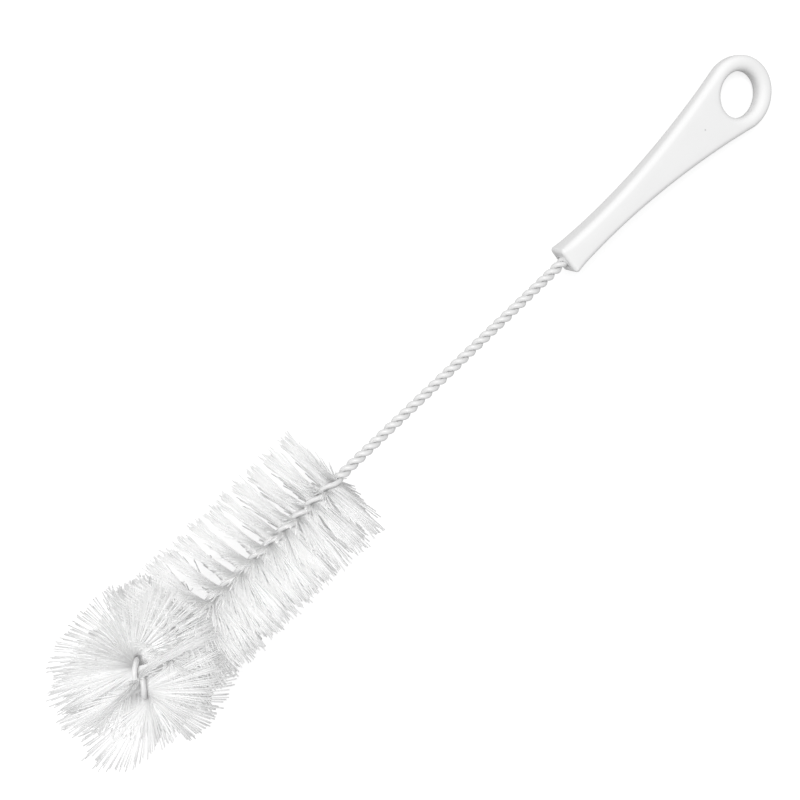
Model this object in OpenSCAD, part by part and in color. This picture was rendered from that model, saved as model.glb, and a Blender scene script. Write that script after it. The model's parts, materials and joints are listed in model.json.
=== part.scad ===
// Bottle brush with a moulded handle, a four-wire twisted stem and a head that ends in a bent-over loop.
// It lies at rest: the hanging ring and the near rim of the bristles touch the ground, Z is up, and the
// brush runs along X with the ring at +X. All sizes are in millimetres.
//
// The pieces are built in the brush's own frame: x = 0 is the neck end of the handle, +x runs to the
// ring, z is square to the flat of the handle. lay_down() then lays the whole brush on the ground.

/* [Handle] */
// Distance from the neck end to the centre of the hanging hole
hole_from_neck = 103.6; // [95:0.1:140]
// Diameter of the hanging hole
hole_d = 19; // [12:0.5:22]
// Rounding of the hole's edges
hole_edge = 2.2; // [0.5:0.1:2.6]
// Outer diameter of the ring around the hole
ring_d = 31.4; // [30:0.2:40]
// How much further from the neck the ring is centred than the hole
ring_shift = 0.3; // [0:0.1:2]
// Thickness of the ring
ring_t = 7.8; // [6:0.1:10]
// Width of the neck at its narrowest
neck_w = 10.9; // [9:0.1:15]
// Distance of the narrowest place from the neck end
waist_at = 21; // [10:1:40]
// Thickness of the handle at the neck end
neck_t = 11.4; // [9:0.1:15]
// Distance from the neck end at which the thickness has come down to the ring's
taper_l = 90; // [60:1:92]
// Rounding along the handle's long edges
edge_r = 2.7; // [1.5:0.1:2.8]
// Rounding of the rim at the neck end
neck_edge = 1.8; // [0.4:0.1:2.2]
// Depth of the socket that holds the stem
socket_l = 18; // [10:1:40]

/* [Stem] */
// Diameter of one coated wire
wire_d = 1.7; // [1.2:0.05:2.2]
// Room between the two pairs of wires, where the bristles are laid in
layer_gap = 0.34; // [0.3:0.02:0.6]
// Side gap between two wires of a pair
pair_gap = 0.1; // [0.04:0.02:0.2]
// Length of the bare stem, from the neck end to the first bristles
stem_l = 127; // [80:1:200]
// Length of one full turn of the twist along the bare stem
stem_pitch = 15.7; // [12:0.1:20]

/* [Head] */
// Diameter of the bristle head
head_d = 54; // [40:1:70]
// Length of the straight part of the head
head_l = 93; // [60:1:140]
// Length of one full turn of the twist in the head
head_pitch = 15; // [12:0.1:20]
// Direction of the bristles where the head starts, round the stem
head_phase = 72; // [0:1:180]
// Thickness along the stem of one turn of bristles at the rim
blade_rim = 3.9; // [2:0.1:4.5]
// Thickness along the stem of one turn of bristles next to the wires
blade_root = 1.3; // [0.8:0.1:2]
// How far the bristles that carry the head are pressed in at the ground
pressed = 1.0; // [0.5:0.1:2]

/* [Bent end] */
// Radius of the first bend
bend_r = 7.75; // [7:0.25:14]
// Angle that the first bend turns through
bend_turn = 97.5; // [90:0.5:110]
// Direction of the first bend, from the handle's face towards its left side
bend_roll = 53; // [20:1:70]
// Radius of the half-turn that folds the end over
loop_r = 8.75; // [7:0.25:14]
// Angle by which the half-turn leans away from the handle
loop_yaw = 18; // [0:1:30]
// Straight length after the half-turn
end_l = 5; // [3:0.5:12]
// Length of the bristles of the bent end, from the middle of the wires
end_reach = 29.5; // [20:0.5:38]

/* [Hidden] */

white_moulding = [0.93, 0.93, 0.92];
white_coating = [0.88, 0.89, 0.89];
white_nylon = [0.97, 0.97, 0.96];

// Clearances
socket_gap = 0.15;  // all round the stem in its socket
socket_end_gap = 0.6;  // between the wires' ends and the bottom of the socket
tunnel_gap = 0.2;   // all round the wires inside the end's bristles
root_gap = 0.25;    // between the wires and the roots of the head's bristles
blade_gap = 0.8;    // between the head's bristles and the end's
past = 1;           // how far a cutter runs past the face it cuts

// Wire rope: four wires in two pairs, one pair each side of the bristle layer
strand_tilt = 27;                                        // angle of a wire to the stem
strand_half = wire_d / 2 / cos(strand_tilt);             // half a wire as cut square to the stem
pair_x = strand_half + pair_gap / 2;
pair_y = strand_half + layer_gap / 2;
strand_r = sqrt(pair_x * pair_x + pair_y * pair_y);
strand_at = atan2(pair_y, pair_x);
rope_r = strand_r + wire_d / 2;
strand_angles = [strand_at, 180 - strand_at, 180 + strand_at, -strand_at];

// Handle
ring_r = ring_d / 2;
ring_x = hole_from_neck + ring_shift;
ring_join = 0.2;                                         // share of the ring's radius short of its centre
ring_join_x = ring_x - ring_join * ring_r;               // where the paddle's flanks meet the ring
flare_power = 1.9;
ring_join_w = sqrt(ring_r * ring_r - pow(ring_x - ring_join_x, 2));
flare_k = (ring_join_w - neck_w / 2) / pow(ring_join_x - waist_at, flare_power);

// Head and end
head_r = head_d / 2;
bend_x = -stem_l - head_l;
core_r = rope_r + root_gap;                              // where the blades start, outside the wires
bend_dir = [0, sin(bend_roll), cos(bend_roll)];
side_dir = [0, -cos(bend_roll), sin(bend_roll)];
leg_dir = sin(bend_turn) * bend_dir - cos(bend_turn) * [1, 0, 0];
loop_dir = cos(loop_yaw) * side_dir - sin(loop_yaw) * cross(leg_dir, side_dir);

// Path of the rope: straight, first bend, half-turn, straight. Each frame is [point, along, y, z].
s_bend = socket_l - bend_x;
s_loop = s_bend + bend_r * PI * bend_turn / 180;
s_end = s_loop + loop_r * PI;
s_last = s_end + end_l;

function turn_vec(v, axis, a) =
    v * cos(a) + cross(axis, v) * sin(a) + axis * (axis * v) * (1 - cos(a));
function turn_frame(f, dir, r, a) =
    let (axis = cross(f[1], dir))
    [f[0] + r * dir + turn_vec(-r * dir, axis, a),
     turn_vec(f[1], axis, a), turn_vec(f[2], axis, a), turn_vec(f[3], axis, a)];
function straight_frame(s) = [[socket_l - s, 0, 0], [-1, 0, 0], [0, 1, 0], [0, 0, 1]];
loop_start = turn_frame(straight_frame(s_bend), bend_dir, bend_r, bend_turn);
loop_finish = turn_frame(loop_start, loop_dir, loop_r, 180);
function frame_at(s) =
    s <= s_bend ? straight_frame(s) :
    s <= s_loop ?
        turn_frame(straight_frame(s_bend), bend_dir, bend_r, bend_turn * (s - s_bend) / (s_loop - s_bend)) :
    s <= s_end ?
        turn_frame(loop_start, loop_dir, loop_r, 180 * (s - s_loop) / (s_end - s_loop)) :
    [loop_finish[0] + loop_finish[1] * (s - s_end), loop_finish[1], loop_finish[2], loop_finish[3]];
function place(f, v) = f[0] + f[1] * v[0] + f[2] * v[1] + f[3] * v[2];

// Twist of the rope at a length s along it: a right-handed lay, with its own pitch in stem and head
s_head = socket_l + stem_l;
function twist_at(s) = head_phase - 360 * (s - s_head) / (s >= s_head ? head_pitch : stem_pitch);

// How the brush lies: a line that touches the pressed rim of the head and the rounded end of the ring
rest_run = ring_x + ring_r - edge_r + stem_l;
rest_drop = head_r - pressed - ring_t / 2 + edge_r;
lie_tilt = atan2(rest_drop, rest_run) - asin(edge_r / sqrt(rest_run * rest_run + rest_drop * rest_drop));
axis_z = (head_r - pressed) * cos(lie_tilt) - stem_l * sin(lie_tilt);
function axis_height(x) = (axis_z - x * sin(lie_tilt)) / cos(lie_tilt);

// Bristles of the bent end: a flat burst around both legs of the loop, and a blade across its top
burst_drop = 3;
burst_low = bend_r - burst_drop;
burst_rim_t = 5;
burst_core_t = 10;
burst_core_r = 9;
legs = [for (p = [loop_start[0], loop_finish[0]]) p - (p * bend_dir) * bend_dir];
burst_reach = sqrt(1 - pow(sin(lie_tilt) * cos(bend_roll), 2));
cap_x = loop_start[0][0] + end_reach + blade_gap;
cap_slope = 4;
loop_top = loop_start[0] + loop_r * loop_dir + loop_r * leg_dir;
blade_side = cross(leg_dir, loop_dir);
blade_half_angle = 50;
blade_steps = 6;
blade_angles = [for (i = [-blade_steps:blade_steps]) 90 + blade_half_angle * i / blade_steps];

// Middle of the brush along the ground and across it, which becomes x = 0 and y = 0
far_x = (ring_x + ring_r - edge_r) * cos(lie_tilt) + (ring_t / 2 - edge_r) * sin(lie_tilt) + edge_r;
burst_mid = burst_low + burst_core_t / 2;
near_x = legs[1][0] * cos(lie_tilt) + (legs[1][2] + burst_mid * bend_dir[2]) * sin(lie_tilt)
    - end_reach * burst_reach;
mid_x = (far_x + near_x) / 2;
far_y = max([for (a = blade_angles)
    (loop_top + end_reach * (cos(a) * blade_side + sin(a) * leg_dir) - blade_rim / 2 * loop_dir)[1]]);
mid_y = (far_y - head_r) / 2;

module lay_down() {
    translate([-mid_x, -mid_y, axis_z])
    rotate([0, lie_tilt, 0])
    children();
}

// Faces that join equal rings of points into a closed tube
function tube_faces(rings, n) = concat(
    [[for (j = [n - 1:-1:0]) j]],
    [for (i = [0:rings - 2], j = [0:n - 1])
        let (k = (j + 1) % n) [i * n + j, i * n + k, (i + 1) * n + k]],
    [for (i = [0:rings - 2], j = [0:n - 1])
        let (k = (j + 1) % n) [i * n + j, (i + 1) * n + k, (i + 1) * n + j]],
    [[for (j = [0:n - 1]) (rings - 1) * n + j]]);

// Handle ---------------------------------------------------------------------------------------

// Half width and half thickness of the paddle at a distance x from its neck end
function paddle_w(x) = neck_w / 2 + flare_k * pow(abs(x - waist_at), flare_power);
function paddle_t(x) = (neck_t + (ring_t - neck_t) * min(x / taper_l, 1)) / 2;

// A rounded rectangle square to x, as points
corner_steps = 5;
function rounded_section(x, w, t, r) =
    [for (c = [[1, 1, 0], [-1, 1, 90], [-1, -1, 180], [1, -1, 270]], i = [0:corner_steps])
        let (a = c[2] + 90 * i / corner_steps)
        [x, c[0] * (w - r) + r * cos(a), c[1] * (t - r) + r * sin(a)]];

paddle_step = 5.5;

module paddle() {
    run = ring_join_x - neck_edge;
    count = ceil(run / paddle_step);
    long = [for (i = [count:-1:0])
        let (x = neck_edge + run * i / count)
        rounded_section(x, paddle_w(x), paddle_t(x), edge_r)];
    rim = [for (a = [60, 30, 0])
        let (inset = neck_edge * (1 - sin(a)), x = neck_edge * (1 - cos(a)))
        rounded_section(x, paddle_w(x) - inset, paddle_t(x) - inset, edge_r - inset)];
    rows = concat(long, rim);
    polyhedron([for (row = rows) each row], tube_faces(len(rows), len(rows[0])));
}

// Solid disc with a rounded rim
module ring_disc() {
    half = ring_t / 2;
    rim = [for (i = [0:8])
        let (a = -90 + 180 * i / 8, up = a < 0 ? -1 : 1)
        [ring_r - edge_r + edge_r * cos(a), (a == 0 ? 0 : up * (half - edge_r)) + edge_r * sin(a)]];
    translate([ring_x, 0, 0])
    rotate_extrude($fn = 96)
    polygon(concat([[0, -half]], rim, [[0, half]]));
}

// Cutter for the hanging hole: a straight bore that opens out at both faces through a rounding
module hanging_hole() {
    half = ring_t / 2;
    flare = [for (i = [0:6])
        let (a = 90 * i / 6)
        [hole_d / 2 + hole_edge * (1 - cos(a)), half - hole_edge + hole_edge * sin(a)]];
    wide = hole_d / 2 + hole_edge;
    profile = concat(
        [[0, -half - past], [wide, -half - past]],
        [for (i = [6:-1:0]) [flare[i][0], -flare[i][1]]],
        flare,
        [[wide, half + past], [0, half + past]]);
    translate([hole_from_neck, 0, 0])
    rotate_extrude($fn = 96)
    polygon(profile);
}

module handle() {
    color(white_moulding)
    lay_down()
    difference() {
        union() {
            paddle();
            ring_disc();
        }
        hanging_hole();
        translate([-past, 0, 0])
        rotate([0, 90, 0])
        cylinder(r = rope_r + socket_gap, h = past + socket_l + socket_end_gap, $fn = 48);
    }
}

// Wires ----------------------------------------------------------------------------------------

wire_sides = 6;
wire_step = 1.4;

// One cross-section of a wire, square to the wire's own slanting run
function wire_ring(s, start_angle) =
    let (f = frame_at(s), a = twist_at(s) + start_angle)
    let (out = [0, cos(a), sin(a)], round_stem = [0, -sin(a), cos(a)])
    let (along = cos(strand_tilt) * [1, 0, 0] - sin(strand_tilt) * round_stem)
    let (across = cross(along, out))
    [for (j = [0:wire_sides - 1])
        let (b = 360 * j / wire_sides)
        place(f, strand_r * out + wire_d / 2 * (cos(b) * out + sin(b) * across))];

module wire(index) {
    count = ceil(s_last / wire_step);
    rows = [for (i = [0:count]) wire_ring(s_last * i / count, strand_angles[index])];
    color(white_coating)
    lay_down()
    polyhedron([for (row = rows) each row], tube_faces(len(rows), wire_sides));
}

// Bristles -------------------------------------------------------------------------------------

// How far the bristles reach from the stem at x in the direction a: less at the ground and under the
// bent end, where a sloping cut leaves room for the burst above
function reach(x, a) =
    let (down = -sin(a), up = cos(a) * bend_dir[1] + sin(a) * bend_dir[2])
    let (cap = burst_low - blade_gap + cap_slope * max(0, x - cap_x))
    min(head_r, down > 0 ? axis_height(x) / down : head_r, up > 0 ? cap / up : head_r);

// Half of the angle that one arm of the twist fills at a radius r
function arm_half(r) =
    180 / head_pitch * (blade_root + (blade_rim - blade_root) * (r - core_r) / (head_r - core_r));

arm_radii = [core_r, 0.3 * head_r, 0.6 * head_r];

// Outline of one arm of the twist, cut square to the stem, from one side of its root to the other
function arm_section(x, twist) =
    let (sides = [for (r = arm_radii) [r, arm_half(r)]], tip = arm_half(head_r))
    let (polar = concat(
        [for (p = sides) [p[0], -p[1]]],
        [for (i = [-2:2]) [head_r, tip * i / 2]],
        [for (i = [len(sides) - 1:-1:0]) sides[i]]))
    [for (p = polar)
        let (a = twist + p[1])
        let (r = core_r + (p[0] - core_r) * (reach(x, a) - core_r) / (head_r - core_r))
        [x, r * cos(a), r * sin(a)]];

head_steps_per_turn = 16;

module bristles_head() {
    length = head_l - blade_gap;
    count = ceil(length / head_pitch * head_steps_per_turn);
    color(white_nylon)
    lay_down()
    for (arm = [0, 180]) {
        rows = [for (i = [0:count])
            let (x = -stem_l - length * i / count)
            arm_section(x, twist_at(socket_l - x) + arm)];
        polyhedron([for (row = rows) each row], tube_faces(len(rows), len(rows[0])));
    }
}

// Turns its children so that their x, y and z run along three given directions
module in_frame(point, along_x, along_y) {
    z = cross(along_x, along_y);
    multmatrix([[along_x[0], along_y[0], z[0], point[0]],
                [along_x[1], along_y[1], z[1], point[1]],
                [along_x[2], along_y[2], z[2], point[2]],
                [0, 0, 0, 1]])
    children();
}

// Tube that leaves room for the bent end of the rope
tunnel_sides = 14;
tunnel_step = 1.8;

module rope_tunnel() {
    length = s_last + past - s_bend;
    count = ceil(length / tunnel_step);
    r = (rope_r + tunnel_gap) / cos(180 / tunnel_sides);
    rows = [for (i = [0:count])
        let (f = frame_at(s_bend + length * i / count))
        [for (j = [0:tunnel_sides - 1])
            let (b = 360 * j / tunnel_sides)
            place(f, [0, r * cos(b), r * sin(b)])]];
    polyhedron([for (row = rows) each row], tube_faces(len(rows), tunnel_sides));
}

// The burst of bristles round both legs of the loop: thick next to the wires, thin at the rim
module burst() {
    hull()
    for (leg = legs)
    in_frame(leg + burst_mid * bend_dir, [1, 0, 0], -side_dir) {
        cylinder(r = end_reach, h = burst_rim_t, center = true, $fn = 40);
        cylinder(r = burst_core_r, h = burst_core_t, center = true, $fn = 24);
    }
}

// The blade that stands up where the twist crosses the top of the loop
module crossing_blade() {
    root = rope_r + tunnel_gap;
    rim = [for (a = blade_angles) end_reach * [cos(a), sin(a)]];
    inner = [for (i = [len(blade_angles) - 1:-1:0]) root * [cos(blade_angles[i]), sin(blade_angles[i])]];
    in_frame(loop_top, blade_side, leg_dir)
    linear_extrude(height = blade_rim, center = true)
    polygon(concat(rim, inner));
}

module bristles_end() {
    color(white_nylon)
    lay_down() {
        difference() {
            burst();
            rope_tunnel();
        }
        crossing_blade();
    }
}

handle();
wire(0);  // wire_1
wire(1);  // wire_2
wire(2);  // wire_3
wire(3);  // wire_4
bristles_head();
bristles_end();
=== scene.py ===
# %% [markdown]
# # A bottle brush, piece by piece
#
# A bottle brush is a simple machine. Coated wires are laid side by side, nylon bristles are laid
# across them, and the wires are twisted until the bristles stand out as two spiral blades. The far
# end is folded over into a short loop, so that its bristles reach the bottom of the bottle, and the
# near end goes into a moulded handle with a ring to hang it by.
#
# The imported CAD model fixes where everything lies. This lesson loads it as a frame, builds finer
# pieces in the places of its nodes, and gives each one a material that is made from nodes.

# %% Load the frame
import json
import math

import bpy
import numpy as np
from mathutils import Matrix, Vector
from mathutils.geometry import delaunay_2d_cdt


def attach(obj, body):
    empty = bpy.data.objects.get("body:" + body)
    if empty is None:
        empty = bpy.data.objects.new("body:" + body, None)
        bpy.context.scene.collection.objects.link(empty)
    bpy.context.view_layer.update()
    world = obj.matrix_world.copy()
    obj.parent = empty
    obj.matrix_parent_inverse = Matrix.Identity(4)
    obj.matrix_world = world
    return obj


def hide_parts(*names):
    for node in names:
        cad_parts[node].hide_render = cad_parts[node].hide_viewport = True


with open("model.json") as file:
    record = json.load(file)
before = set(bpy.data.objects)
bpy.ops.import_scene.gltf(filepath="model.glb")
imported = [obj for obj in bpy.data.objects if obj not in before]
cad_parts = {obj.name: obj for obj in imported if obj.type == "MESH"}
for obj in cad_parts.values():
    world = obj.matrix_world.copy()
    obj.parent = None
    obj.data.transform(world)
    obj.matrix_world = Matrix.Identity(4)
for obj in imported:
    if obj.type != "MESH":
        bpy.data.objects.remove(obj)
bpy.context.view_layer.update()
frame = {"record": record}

# %% [markdown]
# ## The brush's own frame
#
# The brush lies tilted: its ring and the first rim of bristles touch the ground. It is much easier
# to build a straight thing along its own axis and lay it down afterwards, so every piece here is
# made in millimetres with x = 0 at the neck of the handle, +x towards the ring and z square to the
# flat of the handle. The hanging hole's mount in the record says where that frame lies in the
# world.

# %% Brush frame to world
MM = 0.001
# The middle of the hanging hole is this far from the neck's end
HOLE_FROM_NECK = 103.6

mount = next(m for m in frame["record"]["mounts"] if m["name"] == "hang_hole")
brush_z = Vector(mount["axis"]).normalized()
brush_y = Vector((0, 1, 0))
brush_x = brush_y.cross(brush_z)
neck = Vector(mount["pos_m"]) - brush_x * HOLE_FROM_NECK * MM

lay_down = Matrix((
    (*(MM * c for c in (brush_x.x, brush_y.x, brush_z.x)), neck.x),
    (*(MM * c for c in (brush_x.y, brush_y.y, brush_z.y)), neck.y),
    (*(MM * c for c in (brush_x.z, brush_y.z, brush_z.z)), neck.z),
    (0, 0, 0, 1),
))


def to_world(points):
    """Points of the brush frame in mm, as an array of world points in metres."""
    turn = np.array(lay_down)[:3, :3]
    return np.asarray(points) @ turn.T + np.array(neck)


print("the brush is tilted by", round(math.degrees(math.asin(brush_z.x)), 2), "degrees")

# %% [markdown]
# ## The camera
#
# The camera looks down on the brush from nearly above, a little from its side, with a normal lens
# at less than half a metre, so the raised end looks a little larger. Its place is kept as a point
# of the brush frame, with the two directions that its picture's right and top edges run in.

# %% Camera
camera_at = (-139.17, 185.4, 406.92)
picture_right = Vector((0.71705, -0.59983, 0.35502))
picture_up = Vector((0.68755, 0.69236, -0.2189))

turn = lay_down.to_3x3().normalized()
right, up = turn @ picture_right, turn @ picture_up
camera_data = bpy.data.cameras.new("camera")
camera_data.sensor_width = 36
camera_data.lens = 50.82
camera = bpy.data.objects.new("camera", camera_data)
bpy.context.scene.collection.objects.link(camera)
camera.matrix_world = Matrix.Translation(lay_down @ Vector(camera_at)) @ Matrix(
    (right, up, right.cross(up))).transposed().to_4x4()
bpy.context.scene.camera = camera
print("camera at", [round(v, 3) for v in camera.location])

# %% [markdown]
# ## Helpers for pieces
#
# Every piece is a mesh made from points and faces, which Blender's own primitives could not give.
# Three helpers make such an object, let it ride on the brush's one body, and take its points from
# the brush's frame to the world.

# %% Piece helpers


def new_object(name, points, faces):
    """A mesh object in the scene, from world points in metres."""
    mesh = bpy.data.meshes.new(name)
    mesh.from_pydata(points.tolist(), [], faces)
    thing = bpy.data.objects.new(name, mesh)
    bpy.context.scene.collection.objects.link(thing)
    return thing


def ride_piece(name, points, faces, replaces):
    """A smooth object that rides on the one body and stands for CAD nodes."""
    piece = new_object(name, points, faces)
    piece.data.shade_smooth()
    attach(piece, "root")
    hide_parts(*replaces)
    print(name, "has", sum(len(f) - 2 for f in faces), "triangles")
    return piece


def make_piece(name, points_mm, faces, replaces, sharp=None):
    """A smooth piece from brush-frame points, with sharp edges above an angle if one is given."""
    piece = ride_piece(name, to_world(points_mm), faces, replaces)
    if sharp is not None:
        piece.data.set_sharp_from_angle(angle=math.radians(sharp))
    return piece


# %% [markdown]
# ## The path of the wire rope
#
# The rope runs straight out of the handle, bends a little more than square, and folds over in a
# half-turn. A curve object could hold that path, but its bends would not be true arcs. Strands and
# bristles both follow it, so one function gives the point and the directions at any length s along
# it, and another says how far the twist has turned there.

# %% Path and twist
# Lengths of rope: in the socket, bare, and with bristles. Then both bends, and the run past them.
SOCKET, STEM, HEAD = 18.0, 127.0, 93.0
BEND_R, LOOP_R, END = 7.75, 8.75, 5.0
BEND_TURN, BEND_ROLL, LOOP_YAW = math.radians(97.5), math.radians(53), math.radians(18)
# The length of one full twist on the bare stem and in the head, and its angle where they meet
STEM_PITCH, HEAD_PITCH = 8.2, 15.0
HEAD_PHASE = math.radians(72)

bend_dir = Vector((0, math.sin(BEND_ROLL), math.cos(BEND_ROLL)))
side_dir = Vector((0, -math.cos(BEND_ROLL), math.sin(BEND_ROLL)))

s_head = SOCKET + STEM
s_bend = s_head + HEAD
s_loop = s_bend + BEND_R * BEND_TURN
s_turned = s_loop + LOOP_R * math.pi
s_last = s_turned + END


def turned(rope_frame, towards, radius, angle):
    """The frame (point, along, y, z) after an arc of that radius towards a direction."""
    point, along, y, z = rope_frame
    spin = Matrix.Rotation(angle, 3, along.cross(towards))
    return point + radius * towards + spin @ (-radius * towards), spin @ along, spin @ y, spin @ z


def straight(s):
    """The frame at s of a rope that never bends."""
    return Vector((SOCKET - s, 0, 0)), Vector((-1, 0, 0)), Vector((0, 1, 0)), Vector((0, 0, 1))


loop_start = turned(straight(s_bend), bend_dir, BEND_R, BEND_TURN)
leg_dir = loop_start[1]
loop_dir = math.cos(LOOP_YAW) * side_dir - math.sin(LOOP_YAW) * leg_dir.cross(side_dir)
loop_finish = turned(loop_start, loop_dir, LOOP_R, math.pi)


def rope_at(s):
    """Point, direction and two cross directions of the rope at a length s from its near end."""
    if s <= s_bend:
        return straight(s)
    if s <= s_loop:
        return turned(straight(s_bend), bend_dir, BEND_R, (s - s_bend) / BEND_R)
    if s <= s_turned:
        return turned(loop_start, loop_dir, LOOP_R, (s - s_loop) / LOOP_R)
    point, along, y, z = loop_finish
    return point + along * (s - s_turned), along, y, z


def twist_at(s):
    """How far the rope has twisted at s, as an angle: a right-handed lay."""
    pitch = HEAD_PITCH if s >= s_head else STEM_PITCH
    return HEAD_PHASE - 2 * math.pi * (s - s_head) / pitch


print("the rope is", round(s_last, 1), "mm long")
print("it turns", round(HEAD / HEAD_PITCH, 1), "times in the head")

# %% [markdown]
# ## The twisted wires
#
# The CAD model has four wires in two pairs. Under thick coats of white plastic each pair reads as
# one plump strand, so two strands are built, and each stands for two CAD wires. They are twisted
# tightly along the bare stem, and more loosely in the head, where bristles part them. A strand
# could be a curve with a round bevel, or a tube of mesh rings. Rings are used here, because each
# can be set square to the strand's own slanting run, and the last few can shrink into a rounded
# end.

# %% Wires
# A strand's distance from the rope's middle, its thickness and its slant
STEM_R, STEM_D, STEM_TILT = 1.12, 2.3, math.radians(41)
HEAD_R, HEAD_D, HEAD_TILT = 1.1, 2.2, math.radians(28)
OPENING = 8.0
STRAND_SHARP = 60
STRAND_SIDES, STRAND_STEP = 16, 0.5
END_ROUND, END_ANGLES = 0.6, (0, 30, 50, 70, 84)


def opened(s):
    """0 along the bare stem, where the strands touch, and 1 in the head, between bristles."""
    return min(max((s - s_head) / OPENING + 0.5, 0), 1)


def strand_ring(s, start_angle, shrink):
    """One ring of points round a strand, square to the strand."""
    point, along, y, z = rope_at(s)
    share = opened(s)
    r = share * HEAD_R + (1 - share) * STEM_R
    radius = shrink * (share * HEAD_D + (1 - share) * STEM_D) / 2
    tilt = share * HEAD_TILT + (1 - share) * STEM_TILT
    a = twist_at(s) + start_angle
    out = math.cos(a) * y + math.sin(a) * z
    around = math.cos(a) * z - math.sin(a) * y
    run = math.cos(tilt) * along - math.sin(tilt) * around
    across = run.cross(out)
    ring = []
    for j in range(STRAND_SIDES):
        b = 2 * math.pi * j / STRAND_SIDES
        ring.append(point + r * out + radius * (math.cos(b) * out + math.sin(b) * across))
    return ring


def tube_faces(rings, sides):
    """Quads that join equal rings into a tube, and one face at each end."""
    faces = [list(range(sides))[::-1]]
    for i in range(rings - 1):
        for j in range(sides):
            k = (j + 1) % sides
            faces.append([i * sides + j, i * sides + k, (i + 1) * sides + k, (i + 1) * sides + j])
    faces.append([(rings - 1) * sides + j for j in range(sides)])
    return faces


def strand_stations():
    """Lengths along the rope and sizes of a strand's rings: even steps, then a rounded end."""
    count = int(s_last / STRAND_STEP)
    stations = [(s_last * i / count, 1) for i in range(count)]
    for angle in END_ANGLES:
        a = math.radians(angle)
        stations.append((s_last + END_ROUND * math.sin(a), math.cos(a)))
    return stations


strands = []
for name, start_angle, pair in (("coated_strand_1", math.pi / 2, ["wire_1", "wire_2"]),
                                ("coated_strand_2", -math.pi / 2, ["wire_3", "wire_4"])):
    rings = [strand_ring(s, start_angle, shrink) for s, shrink in strand_stations()]
    points = [p for ring in rings for p in ring]
    strands.append(make_piece(name, points, tube_faces(len(rings), STRAND_SIDES), pair,
                              STRAND_SHARP))

# %% [markdown]
# ## The handle
#
# The handle is one injection moulding: a flat paddle that flares from a square neck into a ring. A
# subdivided box with bevels could do it, but its ring would not be truly round, so the mesh is made
# from its outline. The outline is set in by small steps while it climbs a quarter circle, the flat
# between the last loops is filled with even triangles, and the other face is a mirror image.

# %% Handle outline
# The ring's width, its middle beyond the hole's and its thickness, and the hole's width
RING_D, RING_SHIFT, RING_T = 31.4, 0.3, 7.6
HOLE_D = 19.0
# The neck's width and thickness, where the paddle is narrowest, and where it stops thinning
NECK_W, NECK_T, WAIST_AT = 10.9, 11.4, 21.0
TAPER = 90.0
# The flare's curve, and where it meets the ring, as a share of the ring's radius
FLARE_POWER, RING_JOIN = 1.9, 0.2
# The radii of the edges: along the paddle from EDGE_FULL on, at the neck, and round the hole
EDGE_R, NECK_EDGE, HOLE_EDGE_R = 2.7, 1.8, 3.0
EDGE_FULL = 6.0
ARC_POINTS, FLANK_POINTS, CORNER_POINTS, END_POINTS, HOLE_POINTS = 70, 130, 7, 6, 120

ring_r, ring_x = RING_D / 2, HOLE_FROM_NECK + RING_SHIFT
join_x = ring_x - RING_JOIN * ring_r
join_w = math.sqrt(ring_r ** 2 - (ring_x - join_x) ** 2)
flare = (join_w - NECK_W / 2) / (join_x - WAIST_AT) ** FLARE_POWER


def half_width(x):
    """Half the paddle's width at x."""
    return NECK_W / 2 + flare * abs(x - WAIST_AT) ** FLARE_POWER


def half_thickness(x):
    """Half the handle's thickness at x."""
    return (NECK_T + (RING_T - NECK_T) * min(max(x, 0) / TAPER, 1)) / 2


def outline_half():
    """Points on the outline's +y side, from the ring's far end to the middle of the neck end."""
    start = math.atan2(join_w, join_x - ring_x)
    arc = [(ring_x + ring_r * math.cos(a), ring_r * math.sin(a))
           for a in np.linspace(0, start, ARC_POINTS)]
    flank = [(x, half_width(x)) for x in np.linspace(join_x, NECK_EDGE, FLANK_POINTS)[1:]]
    w = half_width(0) - NECK_EDGE
    corner = [(NECK_EDGE * (1 - math.sin(a)), w + NECK_EDGE * math.cos(a))
              for a in np.linspace(0, math.pi / 2, CORNER_POINTS)[1:]]
    end = [(0, y) for y in np.linspace(w, 0, END_POINTS)[1:]]
    return arc + flank + corner + end


half = outline_half()
outline = np.array(half + [(x, -y) for x, y in half[-2:0:-1]])
print("the outline has", len(outline), "points")

# %% Handle edges


def outward(loop):
    """Unit normals of a closed loop that runs counter-clockwise."""
    run = np.roll(loop, -1, 0) - np.roll(loop, 1, 0)
    normal = np.stack([run[:, 1], -run[:, 0]], 1)
    return normal / np.linalg.norm(normal, axis=1)[:, None]


def climbing_loops(loop, inward, radius, steps=8):
    """Loops that leave a wall and turn onto the face along a quarter circle."""
    loops = []
    for a in np.linspace(0, math.pi / 2, steps):
        flat = loop + inward * (radius * (1 - math.cos(a)))[:, None]
        height = np.array([half_thickness(x) for x, _ in flat]) - radius * (1 - math.sin(a))
        loops.append(np.column_stack([flat, height]))
    return loops


edge_radius = np.interp(outline[:, 0], [0.0, EDGE_FULL], [NECK_EDGE, EDGE_R])
outer = climbing_loops(outline, -outward(outline), edge_radius)

hole_angles = np.linspace(0, 2 * math.pi, HOLE_POINTS + 1)[:-1]
hole_round = np.column_stack([np.cos(hole_angles), np.sin(hole_angles)])
hole_loop = hole_round * HOLE_D / 2 + (HOLE_FROM_NECK, 0)
inner = climbing_loops(hole_loop, hole_round, np.full(len(hole_loop), HOLE_EDGE_R))
print("the outer edge has", len(outer), "loops, and the hole's", len(inner))

# %% [markdown]
# The handle thins towards the ring, so the flat between the last loops isn't quite plane, and one
# big face would shade unevenly there. It is filled with a net of points instead, which Blender's
# own Delaunay triangulation joins.

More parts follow.
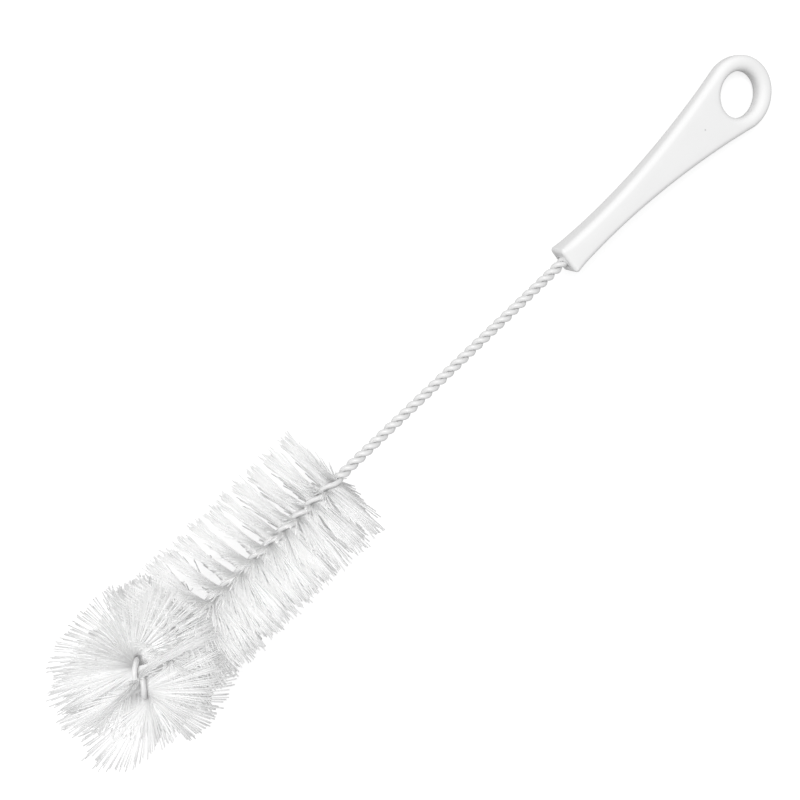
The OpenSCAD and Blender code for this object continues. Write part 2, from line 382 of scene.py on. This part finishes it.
# %% Handle flat
# The spacing of the net, and how close two points may be before they count as one
NET, NET_EXACT = 2.2, 1e-6
rim, well = outer[-1][:, :2], inner[-1][:, :2]
net = [(x, y) for x in np.arange(NET, ring_x + ring_r, NET)
       for y in np.arange(-ring_r, ring_r, NET)
       if np.linalg.norm(rim - (x, y), axis=1).min() > NET / 2
       and np.linalg.norm(well - (x, y), axis=1).min() > NET / 2]
flat = [Vector(p) for p in [*rim, *well, *net]]
edges = [(i, (i + 1) % len(rim)) for i in range(len(rim))]
edges += [(len(rim) + i, len(rim) + (i + 1) % len(well)) for i in range(len(well))]
flat_points, _, flat_faces, _, _, _ = delaunay_2d_cdt(flat, edges, [], 1, NET_EXACT)
well_r = HOLE_D / 2 + HOLE_EDGE_R
kept = []
for face in flat_faces:
    middle = sum((flat_points[i] for i in face), Vector((0, 0))) / 3
    if (middle - Vector((HOLE_FROM_NECK, 0))).length > well_r * math.cos(math.pi / len(well)):
        kept.append(face)
print("the flat of one face has", len(kept), "triangles")

# %% Handle mesh
points, faces = [], []


def add_loops(loops, flip):
    """Quads between loops, each with its own points."""
    first = len(points)
    n = len(loops[0])
    for loop in loops:
        points.extend(loop.tolist())
    for i in range(len(loops) - 1):
        for j in range(n):
            k = (j + 1) % n
            low, high = first + i * n, first + (i + 1) * n
            quad = [low + j, low + k, high + k, high + j]
            faces.append(quad[::-1] if flip else quad)


for side in (1, -1):
    mirror = np.array([1, 1, side])
    wall = [outer[0] * (1, 1, 0)] + outer
    bore = [inner[0] * (1, 1, 0)] + inner
    add_loops([loop * mirror for loop in wall], side < 0)
    add_loops([loop * mirror for loop in bore], side > 0)
    first = len(points)
    points.extend((p.x, p.y, side * half_thickness(p.x)) for p in flat_points)
    faces.extend([first + i for i in (face if side > 0 else face[::-1])] for face in kept)

handle = make_piece("handle_moulding", points, faces, ["handle"])

# %% [markdown]
# The loops were made separately, so their shared points are merged. The stem's socket is then cut
# with a Boolean modifier, which is applied, so that the mesh is final.

# %% Weld the handle and cut its socket


def apply_modifiers(piece):
    """Replaces a piece's mesh by the one its modifiers make."""
    depsgraph = bpy.context.evaluated_depsgraph_get()
    finished = bpy.data.meshes.new_from_object(piece.evaluated_get(depsgraph))
    piece.modifiers.clear()
    piece.data = finished


# The socket's radius, and how much deeper it is than the rope goes
SOCKET_R, SOCKET_SPARE = 2.5, 0.6
# The cutter stands out of the neck's end, so that the cut has no thin skin
CUTTER_SIDES, CUTTER_OUT = 40, 2
# Points closer than this become one, and edges sharper than this angle stay crisp
WELD_GAP = 0.002
HANDLE_SHARP = 40

turns = [2 * math.pi * j / CUTTER_SIDES for j in range(CUTTER_SIDES)]
cutter_points = [(x, SOCKET_R * math.cos(a), SOCKET_R * math.sin(a))
                 for x in (SOCKET + SOCKET_SPARE, -CUTTER_OUT) for a in turns]
cutter = new_object("socket_cutter", to_world(cutter_points), tube_faces(2, CUTTER_SIDES))

weld = handle.modifiers.new("weld", "WELD")
weld.merge_threshold = WELD_GAP * MM
cut = handle.modifiers.new("socket", "BOOLEAN")
cut.operation = "DIFFERENCE"
cut.object = cutter
cut.solver = "EXACT"
apply_modifiers(handle)
bpy.data.objects.remove(cutter)
handle.data.set_sharp_from_angle(angle=math.radians(HANDLE_SHARP))
print("the handle has", len(handle.data.polygons), "faces")

# %% [markdown]
# ## The bristles
#
# A bristle is a length of nylon monofilament. Between the wires it lies across the rope, so it
# always stands out on both sides, and the twist turns the next one a little further. That alone
# makes the two spiral blades. Real bristles don't stand quite true: each is a little off in angle,
# lean and length, they gather in tufts, and many are slightly bent. The ones that stand straight
# up or down keep better order than those at the sides, and most lean a little towards the tip.
# Each is a thin four-sided rod here, slightly thicker than the real filament, so that fewer of
# them fill the brush. Hair particles could do this too, but rods are real geometry, which every
# program can read.

# %% Rods
# A rod's sides and its rings of points, and the lowest height that it may reach
SIDES, JOINTS = 4, 4
GROUND = 0.1


def bristle_rods(roots, directions, bends, lengths, thickness):
    """World points of many bent rods. Rods that would enter the ground are laid on it."""
    t = np.linspace(0, 1, JOINTS)[None, :, None]
    course = directions[:, None] * t + bends[:, None] * t ** 2
    spine = roots[:, None] + lengths[:, None, None] * course
    # Any direction that is well away from the rod's own gives two that are square to it
    helper = np.where(np.abs(directions[:, :1]) < 0.9, [[1.0, 0, 0]], [[0, 1.0, 0]])
    side = np.cross(directions, helper)
    side /= np.linalg.norm(side, axis=1)[:, None]
    other = np.cross(directions, side)
    corners = []
    for j in range(SIDES):
        a = 2 * math.pi * j / SIDES
        corners.append(math.cos(a) * side + math.sin(a) * other)
    corners = np.stack(corners, 1)
    radius = thickness[:, None, None, None] / 2
    rods = spine[:, :, None] + radius * corners[:, None]
    rods = to_world(rods.reshape(-1, 3))
    rods[:, 2] = np.maximum(rods[:, 2], GROUND * MM)
    return rods


def rod_faces(count):
    """Faces of that many rods, each with its sides and two ends."""
    one = tube_faces(JOINTS, SIDES)
    faces = []
    for n in range(count):
        base = SIDES * JOINTS * n
        faces.extend([base + i for i in face] for face in one)
    return faces


def add_values(mesh, name, values):
    """A number for every point of a mesh, which a material can read."""
    attribute = mesh.attributes.new(name, "FLOAT", "POINT")
    attribute.data.foreach_set("value", values.astype(np.float32))


def trimmed(root, direction, middle, radii):
    """The length at which a straight bristle meets an egg shape round the middle."""
    start = np.array(root - middle) / radii
    run = np.array(direction) / radii
    a, b, c = run @ run, start @ run, start @ start - 1
    return (math.sqrt(b * b - a * c) - b) / a


print("a rod has", len(tube_faces(JOINTS, SIDES)), "faces")

# %% Bristle maker
# The direction square to the rope that faces the camera, and where bristles leave the rope
UPPER = Vector((0, 0.41, 0.91))
ROOT_AT = 0.6
# The bristles in a tuft, and how far whole tufts and single bristles are out of true
TUFT, TUFT_TURN, TUFT_LEAN, TURN = 18, 0.012, 0.02, 0.012
# The share of bristles that stray, how thick they are, and how far they and the others bend
STRAY_SHARE, STRAY_D, STRAY_SWAY, SWAY = 0.09, 0.42, 0.03, 0.012
LENGTHS, THICKNESSES = (0.93, 1.04), (0.9, 1.15)


def make_bristles(name, replaces, s_range, count, reach, thick, leans, sweep, swept, spread,
                  order, tints, passes, seed, egg=None):
    """Bristles with their middles spread along the rope from s_range[0] to s_range[1].

    They lean towards the rope's end by leans, which are shares of the range and the slopes there,
    by sweep more or less where they stand up or down, and by swept more or less where they stand
    to the left or right. spread is the scatter of that lean, and order is how much of it upright
    bristles lose. The egg, a middle and three radii, cuts off the bristles that reach past it.
    tints are the range of their shades, and passes is the share of light that gets through a
    bristle, at its root and at its tip. Where passes is near 1, it also lights the nylon with a
    painted glow.
    """
    rng = np.random.default_rng(seed)
    roots, directions, bends, lengths, thickness = [], [], [], [], []
    tufts = int(count / TUFT)
    tuft_turn = rng.normal(0, TUFT_TURN, tufts).tolist()
    tuft_lean = rng.normal(0, TUFT_LEAN, tufts).tolist()
    for i in range(count):
        share = (i + rng.uniform(-0.5, 0.5)) / count
        s = s_range[0] + (s_range[1] - s_range[0]) * min(max(share, 0), 1)
        point, along, y, z = rope_at(s)
        tuft = min(int(share * tufts), tufts - 1) if share > 0 else 0
        for arm in (0, math.pi):
            a = twist_at(s) + arm + tuft_turn[tuft] + rng.normal(0, TURN)
            out = math.cos(a) * y + math.sin(a) * z
            upright = out.dot(UPPER)
            stray = rng.uniform() < STRAY_SHARE
            sideways = math.sqrt(max(1 - upright ** 2, 0))
            loose = 1.0 if stray else 1 - order + order * sideways
            slope = float(np.interp(share, *leans))
            slope += sweep * upright + swept * out.y + tuft_lean[tuft]
            slope += loose * float(rng.uniform(-spread, spread))
            direction = (out + slope * along).normalized()
            sway = rng.normal(0, STRAY_SWAY if stray else SWAY, 3)
            root = point + ROOT_AT * out
            length = min(reach, trimmed(root, direction, *egg)) if egg else reach
            roots.append(root)
            directions.append(direction)
            bends.append(sway)
            lengths.append(length * rng.uniform(*LENGTHS))
            thickness.append((STRAY_D if stray else thick) * rng.uniform(*THICKNESSES))
    rods = [np.array(a) for a in (roots, directions, bends, lengths, thickness)]
    piece = ride_piece(name, bristle_rods(*rods), rod_faces(len(roots)), replaces)
    shades = rng.uniform(*tints, len(roots))
    add_values(piece.data, "tint", np.repeat(shades, SIDES * JOINTS))
    root_to_tip = np.repeat(np.linspace(*passes, JOINTS), SIDES)
    add_values(piece.data, "passes", np.tile(root_to_tip, len(roots)))
    print(name, "has", len(roots), "bristles")
    return piece


# %% [markdown]
# The head's first bristles lean back over the stem, and the rest lean towards the tip. The last
# ones of the folded end fan out over the end of the rope. An egg shape trims that end to the size
# of the CAD model.

# %% Bristles of the head and of the folded end
HEAD_FROM, END_FROM = s_head + 0.5, s_bend - 1.0
# The egg's radii along x, y and z, and the number of rope points whose mean is its middle
EGG_RADII, EGG_POINTS = (40, 31.3, 34), 12

head_bristles = make_bristles(
    "head_bristles", ["bristles_head"], (HEAD_FROM, END_FROM), count=1250, reach=26.6, thick=0.42,
    leans=((0, 0.2), (-0.05, 0.1)), sweep=0.03, swept=0.05, spread=0.12, order=0.72,
    tints=(0, 0.2), passes=(0.93, 0.9), seed=11)

egg_middle = sum((rope_at(s)[0] for s in np.linspace(s_bend, s_last, EGG_POINTS).tolist()),
                 Vector()) / EGG_POINTS
egg_middle.y = -neck.y / MM
# The folded end's bristles take darker tints than the head's. That darker level is painted shade,
# set against the lamp, which falls more strongly on the end. The spread within each range is the
# bristles' own random tone.
end_bristles = make_bristles(
    "end_bristles", ["bristles_end"], (END_FROM, s_last), count=720, reach=30.5, thick=0.44,
    leans=((0, 0.88, 1), (0, 0, 0.45)), sweep=0.0, swept=0.0, spread=0.07, order=0.0,
    tints=(0.3, 1.0), passes=(0.99, 0.88), seed=23, egg=(egg_middle, EGG_RADII))

# %% [markdown]
# ## Helpers for materials
#
# One helper turns an sRGB hex colour, as a paint chart gives it, into the linear numbers that a
# shader wants. The others start a material, add a node with its settings and its links, and put the
# finished material on its pieces.

# %% Material helpers


def linear(hex_colour, alpha=1.0):
    """An sRGB hex colour as the linear values that shaders use."""
    channels = [int(hex_colour[i:i + 2], 16) / 255 for i in (1, 3, 5)]
    return (*(c / 12.92 if c <= 0.04045 else ((c + 0.055) / 1.055) ** 2.4 for c in channels),
            alpha)


def add_node(material, kind, settings=(), links=()):
    """A node with its own settings, its sockets' values, and links from other nodes' outputs."""
    node = material.node_tree.nodes.new(kind)
    for key, value in dict(settings).items():
        if isinstance(key, str) and hasattr(node, key):
            setattr(node, key, value)
        else:
            node.inputs[key].default_value = value
    for socket, source in dict(links).items():
        material.node_tree.links.new(source, node.inputs[socket])
    return node


def new_material(name):
    """An empty node material with its output, and the output node."""
    material = bpy.data.materials.new(name)
    material.use_nodes = True
    material.node_tree.nodes.clear()
    return material, add_node(material, "ShaderNodeOutputMaterial")


def dress(pieces, material):
    """Puts one finished material on its pieces."""
    for piece in pieces:
        piece.data.materials.clear()
        piece.data.materials.append(material)
    print(material.name, "has", len(material.node_tree.nodes), "nodes")


print("#808080 is", round(linear("#808080")[0], 3), "in linear light")

# %% [markdown]
# ## Material: moulded polypropylene
#
# The handle is white polypropylene. It gives the eye a bright, slightly milky solid with almost no
# gloss: a fine matt grain from the mould spreads the highlight, so the specular level is low. The
# grain and the faint flow marks could be painted images. Noise is used here, because it has no
# seams and its scale can be set from real sizes.

# %% Polypropylene
# A speck's place and radius, and how high the grain stands, in mm
SPECK_X, SPECK_Y, SPECK_R = 81.0, 0.2, 0.4
GRAIN_HEIGHT = 0.1

plastic, output = new_material("moulded_polypropylene")
place = add_node(plastic, "ShaderNodeTexCoord")
# Flow marks: very faint clouds about 14 mm across, so 70 to a metre
clouds = add_node(plastic, "ShaderNodeTexNoise", {"Scale": 70.0, "Detail": 2.0},
                  {"Vector": place.outputs["Object"]})
tone = add_node(plastic, "ShaderNodeMix",
                {"data_type": "RGBA", 6: linear("#DEDEDE"), 7: linear("#DBDBDB")},
                {0: clouds.outputs["Fac"]})
# Mould texture: the real matt grain is too fine to show, so it is drawn at 0.4 mm, or 2500 to a
# metre
grain = add_node(plastic, "ShaderNodeTexNoise", {"Scale": 2500.0, "Detail": 1.0},
                 {"Vector": place.outputs["Object"]})
bump = add_node(plastic, "ShaderNodeBump", {"Strength": 0.06, "Distance": GRAIN_HEIGHT * MM},
                {"Height": grain.outputs["Fac"]})
# One grey speck in the moulding, under 1 mm across
speck_at = lay_down @ Vector((SPECK_X, SPECK_Y, half_thickness(SPECK_X)))
apart = add_node(plastic, "ShaderNodeVectorMath", {"operation": "DISTANCE", 1: speck_at},
                 {0: place.outputs["Object"]})
within = add_node(plastic, "ShaderNodeMath", {"operation": "LESS_THAN", 1: SPECK_R * MM},
                  {0: apart.outputs["Value"]})
marked = add_node(plastic, "ShaderNodeMix", {"data_type": "RGBA", 7: linear("#BDBDBD")},
                  {0: within.outputs[0], 6: tone.outputs[2]})
surface = add_node(plastic, "ShaderNodeBsdfPrincipled",
                   {"Roughness": 0.6, "IOR": 1.49, "Specular IOR Level": 0.06},
                   {"Base Color": marked.outputs[2], "Normal": bump.outputs["Normal"]})
plastic.node_tree.links.new(surface.outputs["BSDF"], output.inputs["Surface"])
dress([handle], plastic)

# %% [markdown]
# ## Material: plastic-coated steel wire
#
# The wires are dipped in white vinyl. It gives the eye a little more grey than the moulding, and a
# soft satin gloss that draws a bright line along each strand. It could be a clear layer over
# steel, but no steel shows, so one plain surface with slightly uneven patches is enough.

# %% Coated wire
coating, output = new_material("vinyl_coated_wire")
place = add_node(coating, "ShaderNodeTexCoord")
# Uneven coat: patches about 2.5 mm across, so 400 to a metre
scuffs = add_node(coating, "ShaderNodeTexNoise", {"Scale": 400.0, "Detail": 3.0},
                  {"Vector": place.outputs["Object"]})
tone = add_node(coating, "ShaderNodeMix",
                {"data_type": "RGBA", 6: linear("#D6D6D6"), 7: linear("#CCCCCC")},
                {0: scuffs.outputs["Fac"]})
surface = add_node(coating, "ShaderNodeBsdfPrincipled", {"Roughness": 0.38, "IOR": 1.5},
                   {"Base Color": tone.outputs[2]})
coating.node_tree.links.new(surface.outputs["BSDF"], output.inputs["Surface"])
dress(strands, coating)

# %% [markdown]
# ## Material: nylon monofilament
#
# Nylon bristles are white and slightly clear, with a smooth drawn surface. They give the eye fine
# bright lines with light between them. No two catch the light alike, so each one has a shade of
# its own. They could refract like glass, but thousands of fine glass rods are slow and grainy, so a
# plain surface is mixed with a translucent one.

# %% Nylon
# The translucent share, the values of "passes" between which the glow grows, and its strength
THROUGH = 0.45
GLOW_FROM, GLOW_FULL, GLOW = 0.96, 0.99, 0.13

nylon, output = new_material("nylon_monofilament")
tint = add_node(nylon, "ShaderNodeAttribute", {"attribute_name": "tint"})
tone = add_node(nylon, "ShaderNodeMix",
                {"data_type": "RGBA", 6: linear("#FEFEFE"), 7: linear("#EDEDED")},
                {0: tint.outputs["Fac"]})
passes = add_node(nylon, "ShaderNodeAttribute", {"attribute_name": "passes"})
# Light between crowded roots is lost after a few bounces here, though nylon would hand it on. A
# faint glow at the roots of the folded end stands in for it.
glow = add_node(nylon, "ShaderNodeMapRange", {1: GLOW_FROM, 2: GLOW_FULL, 3: 0.0, 4: GLOW},
                {0: passes.outputs["Fac"]})
skin = add_node(nylon, "ShaderNodeBsdfPrincipled",
                {"Roughness": 0.38, "IOR": 1.53, "Emission Color": (1, 1, 1, 1)},
                {"Base Color": tone.outputs[2], "Emission Strength": glow.outputs[0]})
through = add_node(nylon, "ShaderNodeBsdfTranslucent", {}, {"Color": tone.outputs[2]})
solid = add_node(nylon, "ShaderNodeMixShader", {0: THROUGH},
                 {1: skin.outputs[0], 2: through.outputs[0]})
# Clear nylon lets much of the light through, so a bristle throws only a part of a shadow
clear = add_node(nylon, "ShaderNodeBsdfTransparent", {"Color": (1, 1, 1, 1)})
ray = add_node(nylon, "ShaderNodeLightPath")
passed = add_node(nylon, "ShaderNodeMath", {"operation": "MULTIPLY"},
                  {0: ray.outputs["Is Shadow Ray"], 1: passes.outputs["Fac"]})
surface = add_node(nylon, "ShaderNodeMixShader", {},
                   {0: passed.outputs[0], 1: solid.outputs[0], 2: clear.outputs[0]})
nylon.node_tree.links.new(surface.outputs[0], output.inputs["Surface"])
dress([head_bristles, end_bristles], nylon)

# %% [markdown]
# ## Floor, backdrop and light
#
# White things on white paper are lit by one big soft lamp and by even light from all round, so
# that nothing but the object's own shape makes the greys. A stronger lamp could whiten the paper,
# but it would bleach the handle too. The paper glows a little instead, only where the camera or a
# reflection sees it, which lifts it to white and leaves the brush's soft shadow.

# %% Floor
# Half the paper's width in metres, and how strongly it glows
FLOOR, PAPER_GLOW = 4.0, 0.72

floor = new_object("paper", np.array([(-FLOOR, -FLOOR, 0), (FLOOR, -FLOOR, 0), (FLOOR, FLOOR, 0),
                                      (-FLOOR, FLOOR, 0)]), [(0, 1, 2, 3)])

paper, output = new_material("white_paper")
matt = add_node(paper, "ShaderNodeBsdfDiffuse", {"Color": linear("#A0A0A0")})
ray = add_node(paper, "ShaderNodeLightPath")
seen = add_node(paper, "ShaderNodeMath", {"operation": "MAXIMUM"},
                {0: ray.outputs["Is Camera Ray"], 1: ray.outputs["Is Glossy Ray"]})
lift = add_node(paper, "ShaderNodeMath", {"operation": "MULTIPLY", 1: PAPER_GLOW},
                {0: seen.outputs[0]})
glow = add_node(paper, "ShaderNodeEmission", {"Color": (1, 1, 1, 1)}, {"Strength": lift.outputs[0]})
both = add_node(paper, "ShaderNodeAddShader", {}, {0: matt.outputs[0], 1: glow.outputs[0]})
paper.node_tree.links.new(both.outputs[0], output.inputs["Surface"])
dress([floor], paper)

# %% Lamp and world
# The lamp's width and power, how far it is behind the camera, and how far up and to the left
KEY_SIZE, KEY_WATTS = 1.0, 20.5
KEY_BACK, KEY_ASIDE = 1.0, 0.26
WORLD_STRENGTH = 0.62
LAMP_AIM = Vector((0, 0, 0.02))

key_data = bpy.data.lights.new("key", "AREA")
key_data.size = KEY_SIZE
key_data.energy = KEY_WATTS
key = bpy.data.objects.new("key", key_data)
bpy.context.scene.collection.objects.link(key)
key.location = camera.location + KEY_BACK * right.cross(up) + KEY_ASIDE * (up - right)
key.rotation_euler = (LAMP_AIM - key.location).to_track_quat("-Z", "Y").to_euler()

world = bpy.data.worlds.new("studio")
bpy.context.scene.world = world
world.use_nodes = True
background = world.node_tree.nodes["Background"]
background.inputs["Color"].default_value = (1, 1, 1, 1)
background.inputs["Strength"].default_value = WORLD_STRENGTH
bpy.context.scene.view_settings.view_transform = "Standard"
print("the key lamp is", round(key.location.length, 2), "m away")
